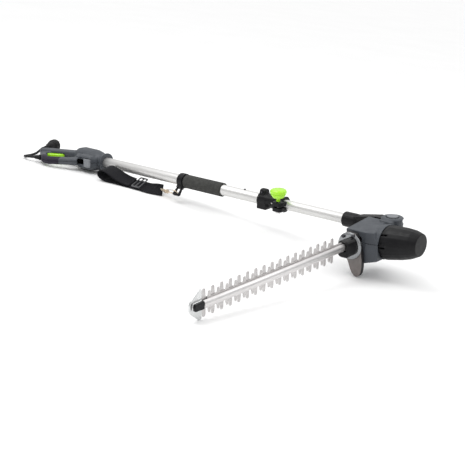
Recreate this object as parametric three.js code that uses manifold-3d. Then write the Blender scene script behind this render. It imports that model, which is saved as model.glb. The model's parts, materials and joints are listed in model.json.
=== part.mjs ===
// Corded long-reach hedge trimmer with a telescopic pole, lying on its side, cutting head folded.
// Millimetres. The tool is drawn in its own frame: +X along the pole towards the head, +Y towards the
// top of the tool in use, +Z across the tool. At the end everything is turned so that the plane the tool
// rests on becomes z = 0.
import * as THREE from 'three';
import { mergeVertices } from 'three/addons/utils/BufferGeometryUtils.js';
import Module from 'manifold-3d';

const wasm = await Module();
wasm.setup();

// ---- driving dimensions ----
const GAP = 0.35;                      // air between neighbouring pieces

const OUTER_R = 14, OUTER_BORE = 13.1; // outer pole tube
const INNER_R = 12.5, INNER_BORE = 11.3;
const OUTER_START = -235, OUTER_END = 445;
const INNER_START = -225, INNER_END = 680;
const TUBE_SIDES = 24;

const HANDLE_FRONT = -158;             // front rim of the rear handle
const GRIP_HALF = 16, BAR_Z = 10.5;    // half widths of the grip and of the D-handle's lower bar
const BODY_R = 29.5;                   // round body that holds the pole
const WALL = 2.6;                      // moulded wall thickness
const GRIP = { x: -278, y: -8, slope: 23.4 }; // front end of the hand grip's centre line, degrees down

const FOAM_START = 146.5, FOAM_END = 275, FOAM_R = 18;
const BRACKET_START = 127, BRACKET_END = 145, BRACKET_R = 19.5;
const LOOP_DROP = 48;                  // degrees that the strap loop hangs below the tool's side

const CLAMP_REAR = 398, CLAMP_FRONT = 475, CLAMP_SCREW_X = CLAMP_REAR + 11;
const KNOB = { x: 472, y: -25, r: 20.4, low: 20, high: 43 };

const COLLAR_REAR = 652, COLLAR_FRONT = 700, COLLAR_R = 18;
const SOCKET_SCREW_X = 664;
const PIVOT_X = 780;                   // head pivot, on the pole's axis
const ARM_LOW = 17.5, ARM_HIGH = 26.5; // pivot arm's plate

const MOTOR = { y: -47, z: -14, barrel: 40, rim: 800, end: 885, rise: 0.13 };
const BLADE = { x: 747, z: -12, first: -184, pitch: 25.76, long: 17, short: 16 };
const LONG_TIP = 29, SHORT_TIP = 22.6; // tooth tips from the blade's centre line
const LONG_R = 4.3, SHORT_R = 2.8;     // tooth tip radii
const BLADE_ROOT = -97, SPINE = 10.5;
const CRANK = 8;                       // half of the blade's 16 mm stroke
const NOSE = { x: 741, z: -20, r: 31, rear: -94.5, front: -113 };
const GEAR = { y: -69.5, z: -16, teeth: 32, pinion: 8, module: 1.125 };

const STRAP_THICK = 2.4;
const CORD_R = 3.5;
const PLUG_R = 18.5;

// ---- materials ----
const paint = (color, roughness, metalness = 0) =>
  new THREE.MeshStandardMaterial({ color, roughness, metalness });
const SHELL_GREY = paint(0x54585e, 0.55);
const LIGHT_GREY = paint(0x8b8e92, 0.5);
const BLACK = paint(0x232325, 0.6);
const FOAM = paint(0x343432, 0.95);
const LIME = paint(0xa8e020, 0.45);
const ALUMINIUM = paint(0xe2e1de, 0.35, 0.9);
const STEEL = paint(0xb9b8b6, 0.3, 1);
const DARK_STEEL = paint(0x55555a, 0.45, 0.9);
const COPPER = paint(0xb06a3a, 0.4, 0.9);
const BRASS = paint(0xb59b62, 0.35, 0.9);
const WEBBING = paint(0x1b1b1f, 0.95);
const SMOKED = paint(0x4d4947, 0.25);

// ---- solids ----
function welded(geometry) {
  const bare = geometry.index ? geometry.toNonIndexed() : geometry.clone();
  for (const name of Object.keys(bare.attributes)) if (name !== 'position') bare.deleteAttribute(name);
  const merged = mergeVertices(bare, 1e-4);
  const index = merged.index.array, kept = [];
  for (let i = 0; i < index.length; i += 3) {
    const [a, b, c] = [index[i], index[i + 1], index[i + 2]];
    if (a !== b && b !== c && c !== a) kept.push(a, b, c);
  }
  merged.setIndex(kept);
  return facingOut(merged);
}

function facingOut(geometry) {
  const index = geometry.index.array, position = geometry.attributes.position;
  const [a, b, c] = [new THREE.Vector3(), new THREE.Vector3(), new THREE.Vector3()];
  let volume = 0;
  for (let i = 0; i < index.length; i += 3) {
    a.fromBufferAttribute(position, index[i]);
    b.fromBufferAttribute(position, index[i + 1]);
    c.fromBufferAttribute(position, index[i + 2]);
    volume += a.dot(b.cross(c));
  }
  if (volume < 0) {
    const flipped = Array.from(index);
    for (let i = 0; i < flipped.length; i += 3) [flipped[i], flipped[i + 1]] = [flipped[i + 1], flipped[i]];
    geometry.setIndex(flipped);
  }
  return geometry;
}

function toManifold(geometry) {
  const clean = welded(geometry);
  return new wasm.Manifold(new wasm.Mesh({
    numProp: 3,
    vertProperties: new Float32Array(clean.attributes.position.array),
    triVerts: new Uint32Array(clean.index.array),
  }));
}

function fromManifold(manifold) {
  const mesh = manifold.getMesh();
  const geometry = new THREE.BufferGeometry();
  geometry.setAttribute('position', new THREE.BufferAttribute(new Float32Array(mesh.vertProperties), 3));
  geometry.setIndex(Array.from(mesh.triVerts));
  return geometry;
}

const combine = (word, first, rest) =>
  fromManifold(rest.reduce((sum, next) => sum[word](toManifold(next)), toManifold(first)));
const join = (first, ...rest) => combine('add', first, rest);
const cut = (first, ...rest) => combine('subtract', first, rest);
const common = (first, ...rest) => combine('intersect', first, rest);

// A box from its low and high limits along each axis.
function block([x0, x1], [y0, y1], [z0, z1]) {
  return new THREE.BoxGeometry(x1 - x0, y1 - y0, z1 - z0)
    .translate((x0 + x1) / 2, (y0 + y1) / 2, (z0 + z1) / 2);
}

// Turns a geometry drawn about +Y so that +Y lies along the named axis, then moves its axis to (u, v).
function aimed(geometry, axis, [u, v]) {
  if (axis === 'x') return geometry.rotateZ(-Math.PI / 2).translate(0, u, v);
  if (axis === 'z') return geometry.rotateX(Math.PI / 2).translate(u, v, 0);
  return geometry.translate(u, 0, v);
}

// A turned solid: profile points are [along the axis, radius], first and last on the axis or closed.
function turned(axis, profile, centre = [0, 0], sides = 24) {
  const points = profile.map(([along, radius]) => new THREE.Vector2(radius, along));
  return aimed(new THREE.LatheGeometry(points, sides), axis, centre);
}

function rod(axis, radius, [from, to], centre = [0, 0], sides = 20) {
  return turned(axis, [[from, 0], [from, radius], [to, radius], [to, 0]], centre, sides);
}

function pipe(axis, outer, bore, [from, to], centre = [0, 0], sides = 24) {
  return turned(axis, [[from, bore], [from, outer], [to, outer], [to, bore], [from, bore]], centre, sides);
}

// An outline extruded between two levels of an axis; the outline is drawn in the other two axes.
function plate(axis, outline, [from, to], bevel = 0, segments = 2, smooth = 4) {
  const shape = outline instanceof THREE.Shape
    ? outline : new THREE.Shape(outline.map(([u, v]) => new THREE.Vector2(u, v)));
  const geometry = new THREE.ExtrudeGeometry(shape, {
    depth: to - from - 2 * bevel, curveSegments: smooth, steps: 1,
    bevelEnabled: bevel > 0, bevelSize: bevel, bevelThickness: bevel, bevelOffset: -bevel,
    bevelSegments: segments,
  });
  const low = from + bevel;
  if (axis === 'z') return geometry.translate(0, 0, low);
  if (axis === 'x') {
    const turn = new THREE.Matrix4().set(0, 0, 1, low, 1, 0, 0, 0, 0, 1, 0, 0, 0, 0, 0, 1);
    return geometry.applyMatrix4(turn);
  }
  const turn = new THREE.Matrix4().set(1, 0, 0, 0, 0, 0, -1, to - bevel, 0, 1, 0, 0, 0, 0, 0, 1);
  return geometry.applyMatrix4(turn);
}

// An outline from corners [u, v, radius], each rounded to its radius.
function rounded(corners, path = new THREE.Shape()) {
  corners.forEach(([u, v, radius = 0], i) => {
    const corner = new THREE.Vector2(u, v);
    const [back, ahead] = [corners.at(i - 1), corners[(i + 1) % corners.length]]
      .map(([x, y]) => new THREE.Vector2(x, y).sub(corner).normalize());
    const opening = back.angleTo(ahead);
    const tangent = radius / Math.tan(opening / 2);
    const pull = tangent - 4 / 3 * Math.tan((Math.PI - opening) / 4) * radius;
    const along = (direction, distance) => corner.clone().addScaledVector(direction, distance);
    const start = along(back, tangent), end = along(ahead, tangent);
    if (i === 0) path.moveTo(start.x, start.y);
    else path.lineTo(start.x, start.y);
    if (radius > 0) path.bezierCurveTo(...along(back, pull), ...along(ahead, pull), end.x, end.y);
  });
  path.closePath();
  return path;
}

// The outline drawn in by a margin and extruded along Z, for the hollow inside a moulding.
function inset(shape, margin, [from, to]) {
  const lip = 0.01;
  return new THREE.ExtrudeGeometry(shape, {
    depth: to - from - 2 * lip, curveSegments: 2, bevelEnabled: true,
    bevelSize: lip, bevelThickness: lip, bevelOffset: -margin, bevelSegments: 1,
  }).translate(0, 0, from + lip);
}

// A round bar bent along a smooth curve through the points.
function bentBar(points, radius, sides = 8, steps = 24, closed = false) {
  const curve = new THREE.CatmullRomCurve3(points.map((p) => new THREE.Vector3(...p)), closed,
      'centripetal');
  const ring = new THREE.Shape();
  ring.absarc(0, 0, radius, 0, 2 * Math.PI);
  return new THREE.ExtrudeGeometry(ring, {
    steps, curveSegments: sides / 2, bevelEnabled: false, extrudePath: curve,
  });
}

const circlePoints = (count, place) => Array.from({ length: count },
    (_, i) => place(2 * Math.PI * i / count));
const degrees = THREE.MathUtils.degToRad;

const model = new THREE.Group();

function piece(name, geometry, material) {
  const mesh = new THREE.Mesh(welded(geometry), material);
  mesh.name = name;
  model.add(mesh);
  return mesh;
}

// ---- rear handle ----
// Grip coordinates: s runs back along the grip's centre line, m out of it towards the finger opening.
function onGrip(s, m) {
  const a = degrees(GRIP.slope);
  return [GRIP.x - s * Math.cos(a) + m * Math.sin(a), GRIP.y - s * Math.sin(a) - m * Math.cos(a)];
}

function loopShape() {
  const shape = rounded([
    [-172, 21], [-262, 21, 18], [...onGrip(6, -15), 14], [-396, -43, 12], [-321, -99, 13], [-294, -99, 14],
    [-250, -70, 30], [-206, -44, 20], [-181, -42, 9], [-172, -24],
  ]);
  shape.holes.push(rounded([[-348.6, -55.1, 8], [-262, -17.7, 12], [-243, -44, 14], [-308.3, -85.3, 9]],
    new THREE.Path()));
  return shape;
}

// The grip and the body in front of it, without the lower bar of the D.
function gripShape() {
  return rounded([
    [-172, 21], [-262, 21, 18], [...onGrip(6, -15), 14], [-396, -43, 12], [-372, -61, 8.5],
        [-262, -17.7, 12],
    [-240, -44, 9], [-206, -44, 20], [-181, -42, 9], [-172, -24],
  ]);
}

function handleSolid() {
  const loop = plate('z', loopShape(), [-BAR_Z, BAR_Z], 5, 1, 2);
  const grip = plate('z', gripShape(), [-GRIP_HALF, GRIP_HALF], 7, 2, 2);
  const body = turned('x', [
    [-276, 0], [-276, 15], [-268, 25], [-250, BODY_R], [-202, BODY_R], [-186, 26.5], [-173, 20.5],
    [-166, 22], [-160, 26], [HANDLE_FRONT, 26], [HANDLE_FRONT, 0],
  ], [0, 0], 24);
  const underside = plate('z', [[-232, -20], [-226, -46], [-180, -44], [-176, -20]], [-19, 19], 5, 1);
  return join(loop, grip, body, underside);
}

function handleCavity() {
  const skin = WALL + 1;
  const bars = inset(loopShape(), skin, [skin - BAR_Z, BAR_Z - skin]);
  const grip = inset(gripShape(), skin + 0.6, [skin - GRIP_HALF, GRIP_HALF - skin]);
  const body = turned('x', [
    [-266, 0], [-266, 22], [-249, BODY_R - WALL], [-203, BODY_R - WALL], [-188, 23.5], [-180, 0],
  ], [0, 0], 20);
  return join(bars, grip, body);
}

const TRIGGER = { s: 38, m: 9, halfWidth: 6.6 };
const triggerOutline = [[31, 4], [31, 12], [38, 17], [50, 22], [68, 25], [77, 24.5], [81, 20], [79, 12],
    [44, 5]];
const LOCK_BUTTON = { x: [-206, -181], outer: -48.5, z: [-12, 12] };

const handleScrews = [{ at: [-214, -34], level: -18.7 }, { at: [-366, -44], level: -14.5 }];

function handleCuts() {
  const pocket = [[28, -3], [28, 26], [84, 28], [84, -3]].map(([s, m]) => onGrip(s, m));
  return [
    rod('x', OUTER_R + GAP, [-240, -150], [0, 0], TUBE_SIDES),
    plate('z', pocket, [-TRIGGER.halfWidth - 0.6, TRIGGER.halfWidth + 0.6]),
    block([-224, -178], [-60, -41.5], [-14, 14]),
    block([LOCK_BUTTON.x[0] - 0.6, LOCK_BUTTON.x[1] + 0.6], [-60, -30], [-12.6, 12.6]),
    rod('z', 2.15, [-11.9, 11.9], onGrip(TRIGGER.s, TRIGGER.m), 12),
    ...handleScrews.flatMap(({ at, level }) => [
      rod('z', 3.4, [level - 20, level + 2.5], at, 12), rod('z', 1.8, [level, level + 14.4], at, 10)]),
  ];
}

function halves(geometry, split) {
  const reach = 2000;
  return [
    common(geometry, block([-reach, reach], [-reach, reach], [split + 0.15, reach])),
    common(geometry, block([-reach, reach], [-reach, reach], [-reach, split - 0.15])),
  ];
}

function buildHandle() {
  const glandHole = glandBore();
  const hollow = cut(handleSolid(), handleCavity(), ...handleCuts(), glandHole);
  const [upper, lower] = halves(hollow, 0);
  piece('handle_shell_right', upper, SHELL_GREY);
  piece('handle_shell_left', lower, SHELL_GREY);

  const lever = plate('z', triggerOutline.map(([s, m]) => onGrip(s, m)),
    [-TRIGGER.halfWidth, TRIGGER.halfWidth], 1.6, 1);
  const pinAt = onGrip(TRIGGER.s, TRIGGER.m);
  piece('trigger_lever', cut(lever, rod('z', 2.3, [-20, 20], pinAt, 12)), LIME);
  piece('trigger_pin', rod('z', 1.9, [-11.5, 11.5], pinAt, 12), STEEL);
  const box = [[46, -9.5], [46, -1], [70, -1], [70, -9.5]].map(([s, m]) => onGrip(s, m));
  piece('power_switch', plate('z', box, [-6, 6]), BLACK);

  const [buttonRear, buttonFront] = LOCK_BUTTON.x;
  const button = plate('z', [
    [buttonRear, -34], [buttonRear, -44], [buttonRear + 4, -47.5],
    [(buttonRear + buttonFront) / 2, LOCK_BUTTON.outer], [buttonFront - 4, -47.5], [buttonFront, -44],
        [buttonFront, -34],
  ], LOCK_BUTTON.z, 2, 2);
  piece('lock_off_button', button, LIGHT_GREY);
  handleScrews.forEach(({ at, level }, i) => piece(`handle_screw_${i + 1}`,
      turned('z', [[level, 0], [level, 3],
    [level + 2.2, 3], [level + 2.2, 1.5], [level + 14, 1.5], [level + 14, 0]], at, 12), DARK_STEEL));
}

// Cord gland: a tapered rubber sleeve that leaves the rear lower corner of the handle.
const GLAND = { at: [-340, -84.8], turn: 205, length: 18 };
function glandFrame(geometry) {
  return geometry.rotateZ(degrees(GLAND.turn)).translate(GLAND.at[0], GLAND.at[1], 0);
}
function glandBore() {
  return glandFrame(turned('x', [[-14, 0], [-14, 5.6], [0.2, 5.6], [0.2, 8.8], [24, 8.8], [24, 0]],
      [0, 0], 12));
}
function buildGland() {
  const sleeve = turned('x', [
    [-8, CORD_R + GAP], [-8, 5.2], [0.6, 5.2], [0.6, 8], [4, 8], [5, 6.6], [GLAND.length, 5],
    [GLAND.length, CORD_R + GAP], [-8, CORD_R + GAP],
  ], [0, 0], 12);
  piece('cord_gland', glandFrame(sleeve), BLACK);
}

// ---- pole ----
function buildPole() {
  piece('outer_tube', pipe('x', OUTER_R, OUTER_BORE, [OUTER_START, OUTER_END], [0, 0], TUBE_SIDES),
      ALUMINIUM);
  piece('inner_tube', pipe('x', INNER_R, INNER_BORE, [INNER_START, INNER_END], [0, 0], TUBE_SIDES),
      ALUMINIUM);
  piece('coiled_lead', rod('x', 7.5, [150, 610], [0, 0], 12), BLACK);

  const lip = 1.2;
  piece('foam_grip', turned('x', [
    [FOAM_START, OUTER_R + GAP], [FOAM_START, FOAM_R - lip], [FOAM_START + 2, FOAM_R],
    [FOAM_END - 2, FOAM_R], [FOAM_END, FOAM_R - lip], [FOAM_END, OUTER_R + GAP],
        [FOAM_START, OUTER_R + GAP],
  ], [0, 0], TUBE_SIDES), FOAM);
  piece('guide_rivet', turned('z', [[OUTER_R + GAP, 0], [OUTER_R + GAP, 2.6], [OUTER_R + 2.4, 2.2],
    [OUTER_R + 3, 0]], [346, 0], 12), DARK_STEEL);
}

// Strap bracket: a ring round the tube with a slanted rectangular eye on the tool's underside.
const LOOP = { near: -20, far: -46, x: [124, 148], bar: 6 };
function hang(geometry) {
  return geometry.rotateX(degrees(LOOP_DROP));
}
function buildBracket() {
  const ring = pipe('x', BRACKET_R, OUTER_R + GAP, [BRACKET_START, BRACKET_END], [0, 0], TUBE_SIDES);
  const [x0, x1] = LOOP.x, bar = LOOP.bar;
  const eye = cut(
    plate('z', [[x0 + 4, LOOP.near + 4], [x0 - 1, LOOP.far + 3], [x0 + 3, LOOP.far], [x1 - 3, LOOP.far],
      [x1 + 1, LOOP.far + 3], [x1 - 4, LOOP.near + 4]], [-3.5, 3.5], 1.5, 1),
    block([x0 + bar, x1 - bar], [LOOP.far + bar, LOOP.near - 3], [-10, 10]),
  );
  const lug = block([x0 + 4, x1 - 4], [-24, -15], [-7, 7]);
  const bore = rod('x', OUTER_R + GAP, [110, 160], [0, 0], TUBE_SIDES);
  const whole = cut(join(ring, hang(join(eye, lug))), bore, hang(rod('x', 1.9, [110, 160], [-20, 0], 8)));
  piece('strap_bracket', whole, BLACK);
  piece('bracket_screw', hang(rod('x', 1.5, [122, 146], [-20, 0], 8)), DARK_STEEL);
}

// ---- telescopic clamp ----
function buildClamp() {
  const barrel = turned('x', [
    [CLAMP_REAR, 0], [CLAMP_REAR, 18.5], [CLAMP_REAR + 24, 18.5], [CLAMP_REAR + 30, 17], [464, 17],
    [470, 17.5], [CLAMP_FRONT, 20.5], [CLAMP_FRONT, 0],
  ], [0, 0], 20);
  const boss = plate('x', [[-13, 8], [-9, 26], [-4, 28.5], [4, 28.5], [9, 26], [13, 8]],
    [CLAMP_REAR + 2, CLAMP_REAR + 20], 2, 1);
  const foot = block([CLAMP_REAR + 2, CLAMP_REAR + 30], [-19.5, 10], [-19.5, -6]);
  const ears = plate('z', [[456, -8], [458, -30], [463, -36], [482, -36], [487, -30], [487, -8]],
      [-12, 12], 1.5, 1);
  const rib = rod('x', 19.2, [449, 453], [0, 0], 20);
  const solid = cut(join(barrel, boss, foot, ears, rib),
    rod('x', OUTER_R + GAP, [CLAMP_REAR - 20, OUTER_END + GAP], [0, 0], TUBE_SIDES),
    rod('x', INNER_R + GAP, [440, 500], [0, 0], TUBE_SIDES),
    block([440, 500], [-60, -6], [-1.6, 1.6]),
    rod('z', 3.6, [-30, 30], [KNOB.x, KNOB.y], 12),
    rod('y', 2.9, [-30, 0], [CLAMP_SCREW_X, 21], 10),
  );
  piece('clamp_body', solid, BLACK);

  const flutes = circlePoints(36, (a) => {
    const r = KNOB.r - 1.5 * (0.5 - 0.5 * Math.cos(12 * a));
    return [KNOB.x + r * Math.cos(a), KNOB.y + r * Math.sin(a)];
  });
  const crown = plate('z', flutes, [KNOB.low + 11, KNOB.high], 3, 1);
  const cone = turned('z', [[KNOB.low, 0], [KNOB.low, 7], [KNOB.low + 3, 14], [KNOB.low + 12, 19.5],
    [KNOB.low + 14, 0]], [KNOB.x, KNOB.y], 16);
  const stem = rod('z', 5, [12.5, KNOB.low + 2], [KNOB.x, KNOB.y], 12);
  piece('clamp_knob', cut(join(crown, cone, stem), rod('z', 3.6, [0, 36], [KNOB.x, KNOB.y], 12)), LIME);
  piece('clamp_bolt', turned('z', [[-16.6, 0], [-16.6, 6.5], [-12.5, 6.5], [-12.5, 3], [34, 3], [34, 0]],
    [KNOB.x, KNOB.y], 12), STEEL);
  piece('clamp_screw', turned('y', [[-12.2, 0], [-12.2, 2.4], [-1, 2.4], [-1, 0]], [CLAMP_SCREW_X, 21],
      10), DARK_STEEL);
}

// ---- pivot arm: pole socket and the plate that carries the head ----
function buildArm() {
  const socket = turned('x', [
    [COLLAR_REAR, 0], [COLLAR_REAR, COLLAR_R], [COLLAR_FRONT - 14, COLLAR_R], [COLLAR_FRONT, 14],
    [COLLAR_FRONT + 4, 0],
  ], [0, 0], TUBE_SIDES);
  const eyeR = 21;
  const outline = new THREE.Shape();
  outline.moveTo(684, 14);
  outline.lineTo(684, -14);
  outline.lineTo(PIVOT_X - 20, -13);
  outline.absarc(PIVOT_X, 0, eyeR, degrees(218), degrees(142), false);
  outline.closePath();
  const profile = [[684, 0], [684, 14], [696, 17.5], [745, ARM_HIGH], [830, ARM_HIGH], [830, ARM_LOW],
    [746, ARM_LOW], [712, 8], [702, 0]];
  const tongue = common(plate('z', outline, [-5, 40]), plate('y', profile, [-40, 40]));
  const solid = cut(join(socket, tongue),
    rod('x', INNER_R + GAP, [600, INNER_END + GAP], [0, 0], TUBE_SIDES),
    rod('z', 5 + GAP, [0, 40], [PIVOT_X, 0], 16),
    rod('z', 2.6, [-30, 30], [SOCKET_SCREW_X, 0], 10),
  );
  piece('pivot_arm', solid, BLACK);
  piece('socket_screw', rod('z', 2.2, [12.9, 17.4], [SOCKET_SCREW_X, 0], 10), DARK_STEEL);
}

// ---- head housing ----
const HUB_R = 26, HUB_TOP = 31;
const topFacet = (skin) => [[-120, -70], [60, -70], [60, 27 - skin], [30, 27 - skin], [-20, 24 - skin],
  [-105, 12 - skin], [-120, 10 - skin]];

function housingSolid() {
  const plan = new THREE.Shape();
  plan.moveTo(720, -94);
  plan.lineTo(772, -94);
  plan.lineTo(MOTOR.rim, -88);
  plan.lineTo(MOTOR.rim, 0);
  plan.lineTo(PIVOT_X + 18, 12);
  plan.absarc(PIVOT_X, 0, HUB_R - 1, degrees(36), degrees(115), false);
  plan.lineTo(738, 21);
  plan.lineTo(722, 6);
  plan.lineTo(715, -30);
  plan.closePath();
  const section = [[722, -54], [714, -36], [714, 2], [720, 12], [728, 27], [772, 27], [790, 14], [801, -12],
    [801, -50], [765, -60], [734, -60]];
  const shell = common(plate('z', plan, [-62, 27]), plate('y', section, [-120, 60]),
    plate('x', topFacet(0), [700, 820]));
  const barrel = turned('x', [[746, 0], [746, 26], [772, 34], [792, 39.5], [MOTOR.rim, MOTOR.barrel],
    [MOTOR.rim, 0]], [MOTOR.y, MOTOR.z], 28);
  const hub = turned('z', [[-24, 0], [-24, HUB_R - 3], [HUB_TOP - 3, HUB_R], [HUB_TOP, HUB_R - 4],
      [HUB_TOP, 0]],
    [PIVOT_X, 0], 32);
  const trunk = plate('z', [[760, -24], [768, -30], [796, -30], [799.5, 4], [PIVOT_X + 16, 12],
      [PIVOT_X - 18, -8]],
    [0, HUB_TOP - 4], 2, 1);
  return join(shell, barrel, hub, trunk);
}

// Space the pivot arm sweeps while the head turns through its whole range.
function armSweep() {
  const reach = 150, half = 14.5;
  const sweep = new THREE.Shape();
  const at = (radius, angle) => [PIVOT_X + radius * Math.cos(degrees(angle)),
      radius * Math.sin(degrees(angle))];
  const [restX, restY] = at(reach, 180);
  sweep.moveTo(restX, restY - half);
  sweep.lineTo(PIVOT_X - 16, -half);
  sweep.absarc(PIVOT_X, 0, 22, degrees(222), degrees(3), false);
  sweep.lineTo(...at(reach, 38));
  sweep.lineTo(...at(reach * 1.4, 100));
  sweep.closePath();
  const under = turned('z', [[ARM_LOW - 0.6, 0], [ARM_LOW - 0.6, 33], [7, 67], [-1, 77], [-1, 400],
    [ARM_HIGH + 0.6, 400], [ARM_HIGH + 0.6, 0]], [PIVOT_X, 0], 24);
  return common(plate('z', sweep, [-2, ARM_HIGH + 0.6]), under);
}

function housingCavity() {
  const plan = [[724, -91], [772, -91], [797, -85], [797, -14], [776, -18], [744, -22], [720, -34]];
  const section = [[726, -50], [717.5, -35], [717.5, 1], [723, 10], [730, 23], [768, 23], [786, 12],
      [797, -12],
    [797, -47.5], [765, -56.6], [736, -56.6]];
  const room = common(plate('z', plan, [-58, 24]), plate('y', section, [-120, 60]),
    plate('x', [[-120, -60], [60, -60], [60, 13.5], [-30, 13.5], [-42, 17], [-105, 8.8], [-120, 7]],
        [700, 820]));
  const barrel = turned('x', [[752, 0], [752, 23], [772, 31.2], [792, 36.7], [MOTOR.rim + 5, 37.2],
    [MOTOR.rim + 5, 0]], [MOTOR.y, MOTOR.z], 28);
  return join(room, barrel);
}

function buildHousing() {
  const hollow = cut(housingSolid(), housingCavity(), armSweep(),
    rod('x', MOTOR.barrel + 1, [MOTOR.rim + 0.2, MOTOR.rim + 40], [MOTOR.y, MOTOR.z], 28),
    rod('x', 8 + GAP, [723.2, 734], [GEAR.y, GEAR.z], 18),
    rod('z', 5 + GAP, [-40, 40], [PIVOT_X, 0], 16),
    rod('z', 14 + GAP, [ARM_HIGH, 40], [PIVOT_X, 0], 24),
    rod('z', 10, [-40, -15], [PIVOT_X, 0], 20),
    block([BLADE.x - 6, BLADE.x + 14], [-99, -85], [BLADE.z - 12, BLADE.z + 12]),
    ...[[729, -46], [765, -46]].map((place) => rod('y', 1.6, [-99, -80], place, 10)),
  );
  const [upper, lower] = halves(hollow, BLADE.z);
  piece('head_shell_right', upper, SHELL_GREY);
  piece('head_shell_left', lower, SHELL_GREY);
  piece('pivot_bolt', turned('z', [[-23, 0], [-23, 8], [-15.5, 8], [-15.5, 5], [ARM_HIGH + 0.1, 5],
    [ARM_HIGH + 0.1, 0]], [PIVOT_X, 0], 16), STEEL);
  piece('pivot_release_button', turned('z', [[ARM_HIGH + 4.6, 0], [ARM_HIGH + 4.6, 13.6],
      [HUB_TOP + 1.6, 13.6],
    [HUB_TOP + 2.6, 12], [HUB_TOP + 2.6, 0]], [PIVOT_X, 0], 28), LIGHT_GREY);
}

// ---- motor, inside the housing and its end cap; its axis runs along X ----
function buildMotor() {
  const at = [MOTOR.y, MOTOR.z];
  const rim = MOTOR.rim + 0.5;
  const outer = [[rim, 38.6], [810, 39.4], [846, 36.5], [866, 33], [878, 28.5], [MOTOR.end, 25.5]];
  const inner = [[881, 22.5], [875, 26], [864, 30], [845, 33.6], [812, 36.4], [rim, 35.8]];
  const cap = turned('x', [...outer, [MOTOR.end, 0], [881, 0], ...inner, outer[0]], [0, 0], 24);
  const recess = [142, 186].map((a) => rod('x', 1.9, [800, 816], [
    37.6 * Math.cos(degrees(a)), 37.6 * Math.sin(degrees(a))], 8));
  const lean = new THREE.Matrix4().set(1, 0, 0, 0, 0, 1, 0, MOTOR.y, MOTOR.rise, 0, 1,
    MOTOR.z - MOTOR.rise * rim, 0, 0, 0, 1);
  piece('motor_cap', cut(cap, ...recess).applyMatrix4(lean), BLACK);

  piece('motor_stator', pipe('x', 30, 21.5, [773, 830], at, 20), DARK_STEEL);
  piece('armature_core', pipe('x', 20.5, 4.4, [776, 828], at, 20), DARK_STEEL);
  piece('motor_shaft', turned('x', [[731, 0], [731, 1.9], [742, 1.9], [744, 4], [872, 4], [872, 0]], at,
      12), STEEL);
  piece('commutator', pipe('x', 11, 4.4, [840, 854], at, 16), COPPER);
  const blades = circlePoints(7, (a) => block([758, 768], [9, 26], [-0.8, 0.8]).rotateX(a)
    .translate(0, ...at));
  piece('cooling_fan', cut(join(rod('x', 11, [756, 768], at, 16), pipe('x', 26, 9, [756, 758.4], at, 20),
    ...blades), rod('x', 4.4, [750, 772], at, 12)), BLACK);
  for (const [name, side] of [['carbon_brush_upper', 1], ['carbon_brush_lower', -1]]) {
    const inwards = side > 0 ? [11.5, 24] : [-24, -11.5];
    piece(name, block([843, 851], [-3.5, 3.5], inwards).translate(0, ...at), DARK_STEEL);
  }
  piece('front_bearing', pipe('x', 11, 4.4, [749.2, 755.4], at, 16), STEEL);
  piece('rear_bearing', pipe('x', 9.5, 4.4, [861, 868], at, 16), STEEL);
}

// ---- gearing: a spur pinion drives a gear whose crank moves the cutting blade ----
function toothedOutline(teeth, module, phase, slim) {
  const pitchR = teeth * module / 2, tipR = pitchR + 0.75 * module, rootR = pitchR - 1.15 * module;
  const quarter = Math.PI / (2 * teeth);
  const half = [[rootR, 1.45 * slim], [tipR, 0.42 * slim]];
  const outline = [];
  for (let tooth = 0; tooth < teeth; tooth += 1) {
    const middle = phase + 2 * Math.PI * tooth / teeth;
    const flank = (sign, [radius, share]) => {
      const angle = middle + sign * share * quarter;
      outline.push([radius * Math.cos(angle), radius * Math.sin(angle)]);
    };
    half.forEach((step) => flank(-1, step));
    [...half].reverse().forEach((step) => flank(1, step));
  }
  return outline;
}

function buildGears() {
  const towards = Math.atan2(GEAR.z - MOTOR.z, GEAR.y - MOTOR.y);
  const gearX = [733, 741];
  const pinion = plate('x', toothedOutline(GEAR.pinion, GEAR.module, towards, 0.86), gearX)
    .translate(0, MOTOR.y, MOTOR.z);
  piece('motor_pinion', cut(pinion, rod('x', 2.2, [700, 760], [MOTOR.y, MOTOR.z], 12)), STEEL);
  const gap = Math.PI / GEAR.teeth;
  const gear = plate('x', toothedOutline(GEAR.teeth, GEAR.module, towards + Math.PI + gap, 0.86), gearX)
    .translate(0, GEAR.y, GEAR.z);
  const crank = rod('x', 3.5, [740, 745], [GEAR.y, GEAR.z + CRANK], 14);
  piece('drive_gear', cut(join(gear, crank), rod('x', 4 + GAP, [730, 739], [GEAR.y, GEAR.z], 14)), STEEL);
  piece('gear_shaft', rod('x', 4, [723.5, 738.6], [GEAR.y, GEAR.z], 14), STEEL);
  piece('gear_bush', pipe('x', 8, 4 + GAP, [723.5, 731], [GEAR.y, GEAR.z], 18), BRASS);
}

// ---- blades ----
// A double-sided comb along -Y: spine outline with round-tipped teeth at the given places.
function comb(teeth, reach, tipR, rootHalf, from, to) {
  const shape = new THREE.Shape();
  const centre = BLADE.z;
  const side = (sign) => {
    const order = sign > 0 ? teeth : [...teeth].reverse();
    for (const y of order) {
      const tip = centre + sign * (reach - tipR);
      const base = centre + sign * SPINE;
      shape.lineTo(y + sign * rootHalf, base);
      shape.absarc(y, tip, tipR, sign > 0 ? 0 : Math.PI, sign > 0 ? Math.PI : 2 * Math.PI, false);
      shape.lineTo(y - sign * rootHalf, base);
    }
  };
  shape.moveTo(from, centre + SPINE);
  side(1);
  shape.lineTo(to, centre + SPINE);
  shape.lineTo(to, centre - SPINE);
  side(-1);
  shape.lineTo(from, centre - SPINE);
  shape.closePath();
  return shape;
}

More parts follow.
